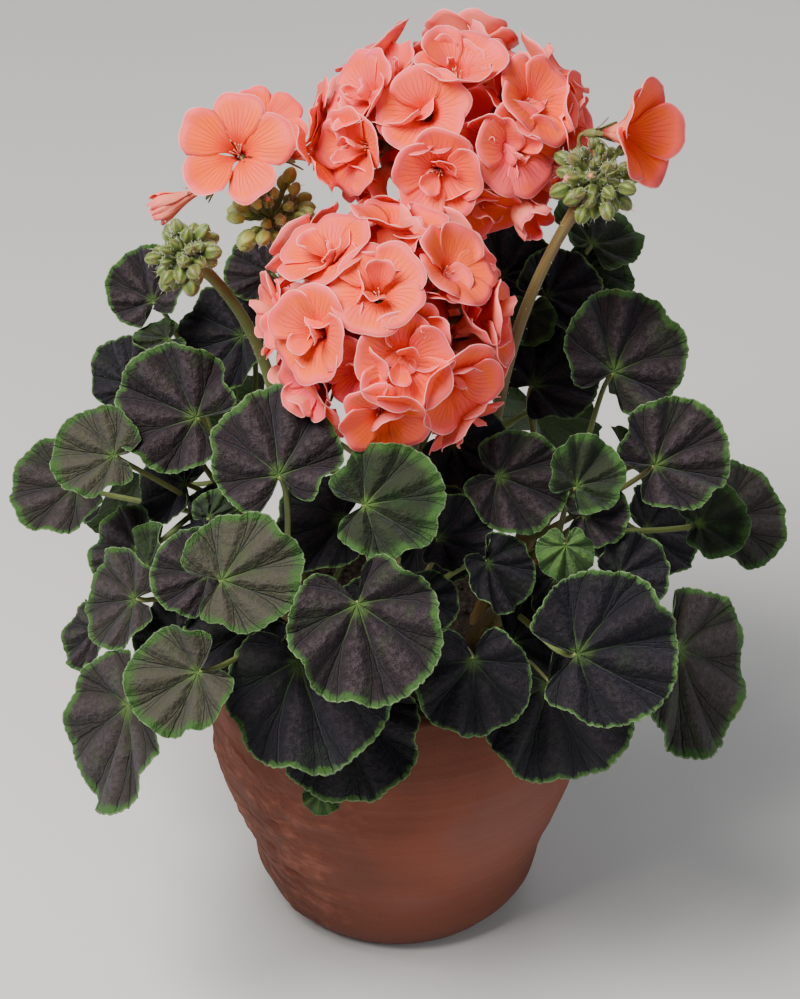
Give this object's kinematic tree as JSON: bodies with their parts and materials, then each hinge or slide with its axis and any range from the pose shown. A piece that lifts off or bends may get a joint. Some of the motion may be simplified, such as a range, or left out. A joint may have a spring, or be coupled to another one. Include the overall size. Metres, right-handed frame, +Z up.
{
  "type": "potted zonal geranium",
  "caption": "Zonal geranium in a rounded terracotta pot, with dark-zoned lobed leaves, dense coral flower heads, bud umbels and single florets.",
  "frame": {"origin": "centre of the pot's round underside, below the middle of the plant's whole width and depth", "axes": "+Z up along the pot's axis, -Y towards the side that the picture shows, +X to the right of it"},
  "size_m": [0.344, 0.3154, 0.4103],
  "materials": {
    "terracotta": "unglazed weathered terracotta, matt",
    "soil": "dark crumbly potting soil",
    "foliage": "velvety leaf with a dark zone, hairy green stems",
    "petals": "thin satin petal with fine darker veins"
  },
  "bodies": {
    "root": {"pot": "terracotta", "soil": "soil", "stem_front": "foliage", "stem_front_left": "foliage", "stem_left": "foliage", "stem_front_right": "foliage", "stem_right": "foliage", "stem_back": "foliage", "floret_left_open": "petals", "floret_left_behind": "petals", "floret_left_side": "petals", "floret_left_half": "petals", "floret_right_side": "petals", "head_front": "petals", "head_back": "petals"}
  },
  "joints": []
}
